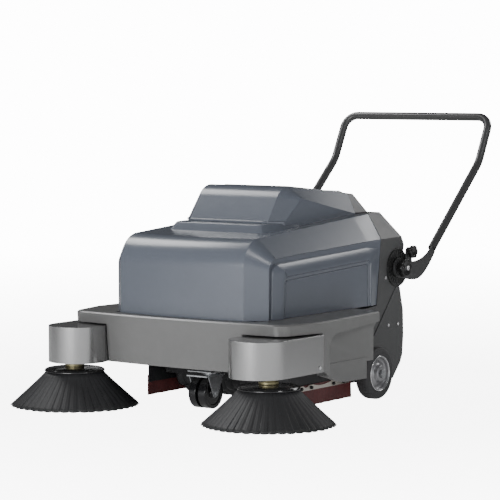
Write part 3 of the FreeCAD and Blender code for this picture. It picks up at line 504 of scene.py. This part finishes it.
def hood_cap():
    """Top tier: a ledge round its foot, curved front, sloping top and chamfered sides."""
    def row(x, foot_y, front_y, top, radius, rear):
        lean = (front_y - foot_y) / 157.0
        start = foot_y + 43 * lean
        return rounded([
            (x, start - 2, 546), (x, start - 2, 564.5), (x, start - 7, 564.5), (x, start - 7, 569),
            (x, start + 1, 571), (x, front_y, top(front_y), radius), (x, 0, top(0)),
            (x, rear, top(rear)),
        ], 12)

    def flank_top(y):
        return 636 - (y + 183) * (636 - 574) / (seam(574) + 183)

    centre = [row(CAP_FLAT * step / 6, -339, -242, cap_top, 75, seam(639)) for step in range(-6, 7)]
    flank = row(CAP_SIDE, -306, -183, flank_top, 22, seam(574))
    skin = build("skin", [flipped(flank)] + centre + [flank])
    ends = []
    for line in (flank, flipped(flank)):
        wall = line + [Vector((line[0].x, seam(546), 546))]
        mesh = bpy.data.meshes.new("end")
        mesh.from_pydata([p * MM for p in wall], [], [tuple(range(len(wall)))])
        ends.append(cleaned("end", mesh))
    return shelled(joined("hood_cap", [skin] + ends), 4.0)


def hood_plinth():
    """Faceted step in front of the top tier."""
    low = [(0, -395), (158, -391), (180, -386), (193, -368), (212, -318), (212, -210)]
    high = [(0, -374), (148, -371), (160, -366), (166, -352), (176, -300), (176, -210)]
    rows = []
    for outline, height in ((low, -7.0), (high, 0.0), ([(0, -300)] * 6, 0.0)):
        line = []
        for x, y in outline:
            z = 563 if height == 0 else roof(y) - 9
            line.append(Vector((x, y, z)))
        rows.append(flipped(line[:0:-1]) + line)
    return soften(build("hood_plinth", rows), 3.0)


def hood_lid():
    rows = []
    for inset, rise in ((0, -2.0), (0, 2.6), (3, 3.2)):
        front, rear, half = -166 + inset, 100 - inset, 122 - inset
        rows.append([Vector((x, y, cap_top(y) + rise)) for x, y in
                     ((-half, front), (half, front), (half, rear), (-half, rear))])
    return soften(build("hood_lid", rows, wrap=True, fill_ends=True), 1.5)


def hinge_straps():
    """Knuckles and straps that join the hood's rear edge to the hinge pins."""
    parts = []
    for x in (-95.0, 75.0):
        end = x + STRAP_WIDTH
        parts.append(lathe("eye", [(2.6, x), (2.6, end), (EYE_R, end), (EYE_R, x)],
                           (0, HINGE_Y, HINGE_Z), "X", 32, ring=True))
        parts.append(prism("strap", [(105, cap_top(105)), (105, cap_top(105) + 2.5),
                                     (HINGE_Y - 3, HINGE_Z + 4.6), (HINGE_Y - 4, 638)], x, end))
    return joined("hinge_straps", parts)


def make_hood():
    put(hood_lower(), "hood", "hood_plastic", "hood_shell")
    put(hood_cap(), "hood", "hood_plastic")
    put(hood_plinth(), "hood", "hood_plastic")
    put(hood_lid(), "hood", "hood_plastic")
    put(hinge_straps(), "hood", "hinge_steel")


# ---------------------------------------------------------------- side brushes
TUFTS = 46


def make_side_brush(side, sign):
    body = "side_brush_" + side
    skirt_low, skirt_high = span("bristle_skirt_" + side)
    disc_low, disc_high = span("brush_disc_" + side)
    centre = (skirt_low + skirt_high) / 2
    centre.z = 0
    reach = (skirt_high.x - skirt_low.x) / 2
    disc_r = (disc_high.x - disc_low.x) / 2
    floor, top = skirt_low.z, skirt_high.z
    draw = random.Random(7 if sign > 0 else 11)
    jitter = [(draw.uniform(-0.02, 0.02), draw.uniform(-3.5, 0.0)) for _ in range(TUFTS)]

    def skirt_row(angle, share, inward):
        tuft = int(angle / (2 * math.pi) * TUFTS) % TUFTS
        phase = angle / (2 * math.pi) * TUFTS % 1.0
        crown = math.sin(math.pi * phase) ** 0.6
        groove = (1.5 + 3.0 * share) * (crown - 1) + 0.5 * math.sin(6 * math.pi * phase)
        spread = disc_r - 4 + (reach - disc_r + 4 + jitter[tuft][1] * share) * share ** 1.06
        radius = min(reach - 0.2, spread + groove) - inward
        z = top - (top - floor) * share + (1 - crown) * 2.0 * share
        turn = angle + jitter[tuft][0] * share
        return centre + Vector((radius * math.cos(turn), radius * math.sin(turn), z))

    steps, levels = TUFTS * 10, 10
    rows = []
    for step in range(steps):
        angle = 2 * math.pi * step / steps
        outer = [skirt_row(angle, level / levels, 0) for level in range(levels + 1)]
        inner = [skirt_row(angle, level / levels, 6 + 16 * level / levels)
                 for level in range(levels, -1, -1)]
        rows.append(outer + inner)
    skirt = build("bristles_" + side, rows, wrap=True, close=True)
    put(skirt, body, "bristle_nylon", "bristle_skirt_" + side)

    disc_top = disc_high.z
    profile = [(0, disc_low.z), (disc_r - 6, disc_low.z), (disc_r, disc_low.z + 2),
               (disc_r, disc_low.z + 4.5), (disc_r - 2, disc_top - 7), (disc_r - 7, disc_top - 4.5),
               (disc_r - 11, disc_top - 5.5), (disc_r - 14, disc_top - 4), (disc_r - 30, disc_top - 1.5),
               (36, disc_top), (0, disc_top)]
    disc = soften(lathe("brush_plate_" + side, profile, centre), 1.0, 20)
    put(disc, body, "brush_disc_plastic", "brush_disc_" + side)

    hub_low, hub_high = span("brush_hub_" + side)
    hub_r = (hub_high.x - hub_low.x) / 2
    profile = [(0, hub_low.z), (hub_r - 1, hub_low.z), (hub_r, hub_low.z + 3), (hub_r, hub_low.z + 9),
               (hub_r - 4, hub_low.z + 11), (hub_r - 4, hub_low.z + 14), (hub_r - 1, hub_low.z + 16),
               (hub_r - 1, hub_low.z + 25), (8, hub_low.z + 25), (8, hub_high.z), (0, hub_high.z)]
    hub = soften(lathe("brush_boss_" + side, profile, centre, steps=48), 0.8, 20)
    put(hub, body, "hub_brass", "brush_hub_" + side)


# ---------------------------------------------------------------- wheels
def make_wheel(side, sign):
    body = "wheel_" + side
    low, high = span("tyre_" + side)
    centre = (low + high) / 2
    centre.x = 0
    radius = (high.z - low.z) / 2
    inner_x, outer_x = (low.x, high.x) if sign > 0 else (high.x, low.x)
    rim = 56.0
    lugs = 40

    def across(share):
        return inner_x + (outer_x - inner_x) * share

    profile = [(rim, across(0.06)), (rim + 10, across(0.0)), (radius - 9, across(0.0)),
               (radius - 3, across(0.06)), (radius - 0.6, across(0.16)), (radius, across(0.3)),
               (radius, across(0.47)), (radius - 1.5, across(0.48)), (radius - 1.5, across(0.52)),
               (radius, across(0.53)), (radius, across(0.7)), (radius - 0.6, across(0.84)),
               (radius - 3, across(0.94)), (radius - 9, across(1.0)), (rim + 10, across(1.0)),
               (rim + 7, across(0.98)), (rim + 4, across(1.0)), (rim, across(0.96))]

    def tread(index, angle):
        in_slot = (angle * lugs / (2 * math.pi)) % 1.0 > 0.85
        return -1.2 if in_slot and 3 < index < 12 else 0.0

    tyre = lathe("tyre_tread_" + side, profile, centre, "X", lugs * 7, ring=True, wave=tread)
    put(soften(tyre, 0.8, 35, 2), body, "tyre_rubber", "tyre_" + side)
    hub = [(10.1, across(0.05)), (22, across(0.05)), (26, across(0.4)), (46, across(0.5)),
           (rim - 8, across(0.1)), (rim, across(0.08)), (rim, across(0.95)), (rim - 3, across(0.99)),
           (rim - 6, across(0.97)), (rim - 8, across(0.78)), (rim - 14, across(0.72)),
           (32, across(0.80)), (28, across(0.86)), (24, across(1.10)), (20, across(1.135)),
           (10.1, across(1.135))]
    put(soften(lathe("wheel_rim_" + side, hub, centre, "X", 96, ring=True), 1.2, 22, 3),
        body, "wheel_alloy", "wheel_hub_" + side)
    bead = [(rim - 3.2, across(0.955)), (rim - 0.4, across(0.955)), (rim - 0.4, across(1.0)),
            (rim - 1.2, across(1.02)), (rim - 2.4, across(1.02)), (rim - 3.2, across(1.0))]
    put(lathe("wheel_ring_" + side, bead, centre, "X", 96, ring=True), body, "screw_metal")


# ---------------------------------------------------------------- hand knobs
def star(name, source, lobes, depth, body, slot):
    """Lobed knob with a domed rim and a dished face, on its stud."""
    low, high = span(source)
    outward = 1 if high.x > 0 else -1
    centre = Vector((0, (low.y + high.y) / 2, (low.z + high.z) / 2))
    radius = (high.z - low.z) / 2
    face_x = (high.x if outward > 0 else low.x)
    inner_x = (low.x if outward > 0 else high.x)
    crown = face_x - outward * (6.0 if source.startswith("lock") else 0.0)
    root = crown - outward * depth
    levels = [(0.30, inner_x, 0), (0.30, root - outward * 6, 0), (0.45, root - outward * 5, 0),
              (0.55, root, 0.2), (0.93, root + outward, 0.9), (1.0, root + outward * 3, 1.0),
              (1.0, crown - outward * 3, 1.0), (0.95, crown - outward * 0.6, 1.0), (0.88, crown, 0.9),
              (0.62, crown - outward * 0.5, 0.4), (0.5, crown - outward * 2.5, 0.0),
              (0.0, crown - outward * 2.5, 0.0)]
    rows = []
    steps = lobes * 16
    for step in range(steps):
        angle = 2 * math.pi * step / steps
        ripple = 0.15 * (1 - abs(math.cos(lobes * angle / 2)) ** 0.7)
        row = []
        for share, x, lobed in levels:
            reach = radius * share * (1 - ripple * lobed)
            if share == 0.30:
                reach = 6.0
            row.append(centre + Vector((x, reach * math.cos(angle), reach * math.sin(angle))))
        rows.append(row)
    made = build(name, rows, close=True)
    return put(made, body, slot, source)


def make_knobs(side, sign):
    lock = "lock_knob_" + side
    star(lock + "_grip", lock, 6, 18.0, lock, "knob_plastic")
    stop = "stop_knob_" + side
    star(stop + "_grip", stop, 6, 14.0, stop, "knob_plastic")
    low, high = span(lock)
    centre = Vector((0, (low.y + high.y) / 2, (low.z + high.z) / 2))
    face = high.x if sign > 0 else low.x
    bolt = [(0, face - sign * 9), (8, face - sign * 9), (8, face - sign * 1), (6.5, face), (3.4, face),
            (3.4, face - sign * 3), (0, face - sign * 3)]
    put(soften(lathe(lock + "_nut", bolt, centre, "X", 6), 0.4, 20, 2), lock, "screw_metal")


# ---------------------------------------------------------------- skirts under the chassis
def make_flap(side, sign):
    """Rubber skirt with a faint wave along its free lower edge."""
    low, high = span("side_flap_" + side)
    inner, outer = (low.x, high.x) if sign > 0 else (high.x, low.x)
    rows = []
    steps = 60
    for step in range(steps + 1):
        y = low.y + (high.y - low.y) * step / steps
        row = []
        for share, x in ((1, inner), (0.5, inner), (0, inner), (0, outer), (0.5, outer), (1, outer)):
            z = low.z + (high.z - low.z) * share
            drift = 1.6 * math.sin(step * 0.55) * (1 - share) ** 2
            row.append(Vector((x + drift, y, z)))
        rows.append(row)
    made = build("skirt_" + side, rows, wrap=True, fill_ends=True)
    put(soften(made, 0.5, 40, 2), "chassis", "flap_rubber", "side_flap_" + side)


def make_main_brush():
    """Bristle roll with its tufts in helical rows."""
    low, high = span("main_brush_bristles")
    centre = (low + high) / 2
    radius = (high.z - low.z) / 2
    core = 45.0
    rows = []
    stations, steps, spirals = 64, 288, 12
    for station in range(stations + 1):
        x = low.x + (high.x - low.x) * station / stations
        row = []
        for step in range(steps):
            angle = 2 * math.pi * step / steps
            phase = (angle * spirals / (2 * math.pi) + station / stations * 2.5) % 1.0
            tuft = max(0.0, math.sin(math.pi * phase)) ** 0.5
            notch = 0.9 if station % 4 == 0 else 1.0
            reach = (radius - 16 + 16 * tuft) * (notch if tuft > 0.5 else 1.0)
            y, z = centre.y + reach * math.cos(angle), centre.z + reach * math.sin(angle)
            row.append(Vector((x, y, z)))
        rows.append(row)
    ends = []
    for x in (low.x, high.x):
        ends.append([Vector((x, centre.y + core * math.cos(2 * math.pi * step / steps),
                             centre.z + core * math.sin(2 * math.pi * step / steps)))
                     for step in range(steps)])
    made = build("main_brush_tufts", [ends[0]] + rows + [ends[1]], wrap=True, close=True)
    put(made, "main_brush", "bristle_nylon", "main_brush_bristles")


# ---------------------------------------------------------------- whole machine
make_hood()
for side_name, side_sign in SIDES:
    make_side_brush(side_name, side_sign)
    make_wheel(side_name, side_sign)
    make_knobs(side_name, side_sign)
    make_flap(side_name, side_sign)
make_main_brush()

ROUNDED = {
    "bumper_shell": 4.5, "pod_left": 2.2, "pod_right": 2.2, "rear_housing": 2.5,
    "rear_cover_left": 2.0, "rear_cover_right": 2.0, "handle_arm_left": 1.4, "handle_arm_right": 1.4,
    "tilt_disc_left": 0.8, "tilt_disc_right": 0.8, "flap_clamp_left": 0.4, "flap_clamp_right": 0.4,
    "flap_bolts": 0.8, "body_screws": 0.6, "caster_fork": 0.8, "caster_wheels": 2.0,
    "caster_plate": 0.8, "wheel_axles": 0.8, "control_panel": 2.0, "charge_inlet": 0.6,
    "key_switch": 0.6, "power_rocker": 1.2, "stop_button": 1.0, "dust_bin": 2.0, "deck_plate": 0.8,
    "side_frame_left": 0.8, "side_frame_right": 0.8,
}
for source_name, edge_width in ROUNDED.items():
    recast(source_name, edge_width)


# ---------------------------------------------------------------- floor and light
HORIZON = 6.0
WHITE = (1.0, 1.0, 1.0, 1.0)
GLOW = 14.0
KEY_SIDE = (0.60, -0.80, 0.0)
KEY_RANGE, DARK_SIDE = (0.12, 0.55), 0.05
FLOOR_REACH = 60.0
# Name, place, aim, width and height, power.
LIGHTS = (
    ("front", (0.3, -4.8, 0.95), (0, -0.3, 0.4), (2.4, 1.1), 115),
    ("top_left", (-2.4, -0.3, 3.3), (0, -0.3, 0.45), (1.6, 1.4), 85),
    ("right_high", (3.4, -0.9, 2.9), (0, -0.3, 0.45), (0.7, 0.7), 20),
    ("back", (1.9, 3.9, 2.6), (0, 0, 0.4), (2.0, 1.1), 50),
)
FLOOR_SPILL, WALL_SPILL, CEILING = 1.0, 1.6, 0.10


def toward_key(tree, place):
    """Share of the studio's brightness in a direction: full toward the key side, little behind."""
    flat = node(tree, "ShaderNodeVectorMath", {0: place, 1: (1.0, 1.0, 0.0)}, operation="MULTIPLY")
    unit = node(tree, "ShaderNodeVectorMath", {0: flat.outputs[0]}, operation="NORMALIZE")
    inputs = {0: unit.outputs[0], 1: KEY_SIDE}
    facing = node(tree, "ShaderNodeVectorMath", inputs, operation="DOT_PRODUCT")
    return ranged(tree, facing.outputs["Value"], *KEY_RANGE, DARK_SIDE, 1.0)


def make_floor():
    material = bpy.data.materials.new("floor")
    material.use_nodes = True
    tree = material.node_tree
    tree.nodes.clear()
    place = node(tree, "ShaderNodeTexCoord", {}).outputs["Object"]
    distance = node(tree, "ShaderNodeVectorMath", {0: place}, operation="LENGTH").outputs["Value"]
    seen = node(tree, "ShaderNodeLightPath", {}).outputs["Is Camera Ray"]
    diffuse = node(tree, "ShaderNodeBsdfDiffuse", {"Color": (0.86, 0.865, 0.87, 1.0)})
    spill = product(tree, toward_key(tree, place), ranged(tree, distance, 0.4, 2.5, 0.25, FLOOR_SPILL))
    bounce = node(tree, "ShaderNodeEmission", {"Color": WHITE, "Strength": spill})
    lit = node(tree, "ShaderNodeAddShader", {0: diffuse.outputs[0], 1: bounce.outputs[0]})
    glow = node(tree, "ShaderNodeEmission", {"Color": WHITE, "Strength": GLOW})
    clean = node(tree, "ShaderNodeMixShader", {
        0: ranged(tree, distance, 0.9, HORIZON, 0.5), 1: diffuse.outputs[0], 2: glow.outputs[0]})
    mix = node(tree, "ShaderNodeMixShader", {0: seen, 1: lit.outputs[0], 2: clean.outputs[0]})
    node(tree, "ShaderNodeOutputMaterial", {"Surface": mix.outputs[0]})
    corners = [(FLOOR_REACH * x, FLOOR_REACH * y, 0) for x, y in ((-1, -1), (1, -1), (1, 1), (-1, 1))]
    mesh = bpy.data.meshes.new("floor")
    mesh.from_pydata(corners, [], [(0, 1, 2, 3)])
    mesh.materials.append(material)
    floor = bpy.data.objects.new("floor", mesh)
    bpy.context.scene.collection.objects.link(floor)


def area_light(name, place, aim, size, power):
    data = bpy.data.lights.new(name, "AREA")
    data.shape = "RECTANGLE"
    data.size, data.size_y = size
    data.energy = power
    light = bpy.data.objects.new(name, data)
    light.location = place
    light.rotation_mode = "QUATERNION"
    light.rotation_quaternion = (Vector(aim) - Vector(place)).to_track_quat("-Z", "Y")
    bpy.context.scene.collection.objects.link(light)


def make_light():
    world = bpy.data.worlds.new("studio")
    world.use_nodes = True
    tree = world.node_tree
    tree.nodes.clear()
    seen = node(tree, "ShaderNodeLightPath", {}).outputs["Is Camera Ray"]
    place = node(tree, "ShaderNodeTexCoord", {}).outputs["Generated"]
    height = node(tree, "ShaderNodeSeparateXYZ", {"Vector": place}).outputs["Z"]
    band = ranged(tree, height, 0.14, 0.26, WALL_SPILL, CEILING)
    strength = product(tree, band, toward_key(tree, place))
    soft = node(tree, "ShaderNodeBackground", {"Color": (0.95, 0.97, 1.0, 1.0), "Strength": strength})
    bright = node(tree, "ShaderNodeBackground", {"Color": WHITE, "Strength": GLOW})
    mix = node(tree, "ShaderNodeMixShader", {0: seen, 1: soft.outputs[0], 2: bright.outputs[0]})
    node(tree, "ShaderNodeOutputWorld", {"Surface": mix.outputs[0]})
    bpy.context.scene.world = world
    for name, place, aim, size, power in LIGHTS:
        area_light(name, place, aim, size, power)


make_floor()
make_light()
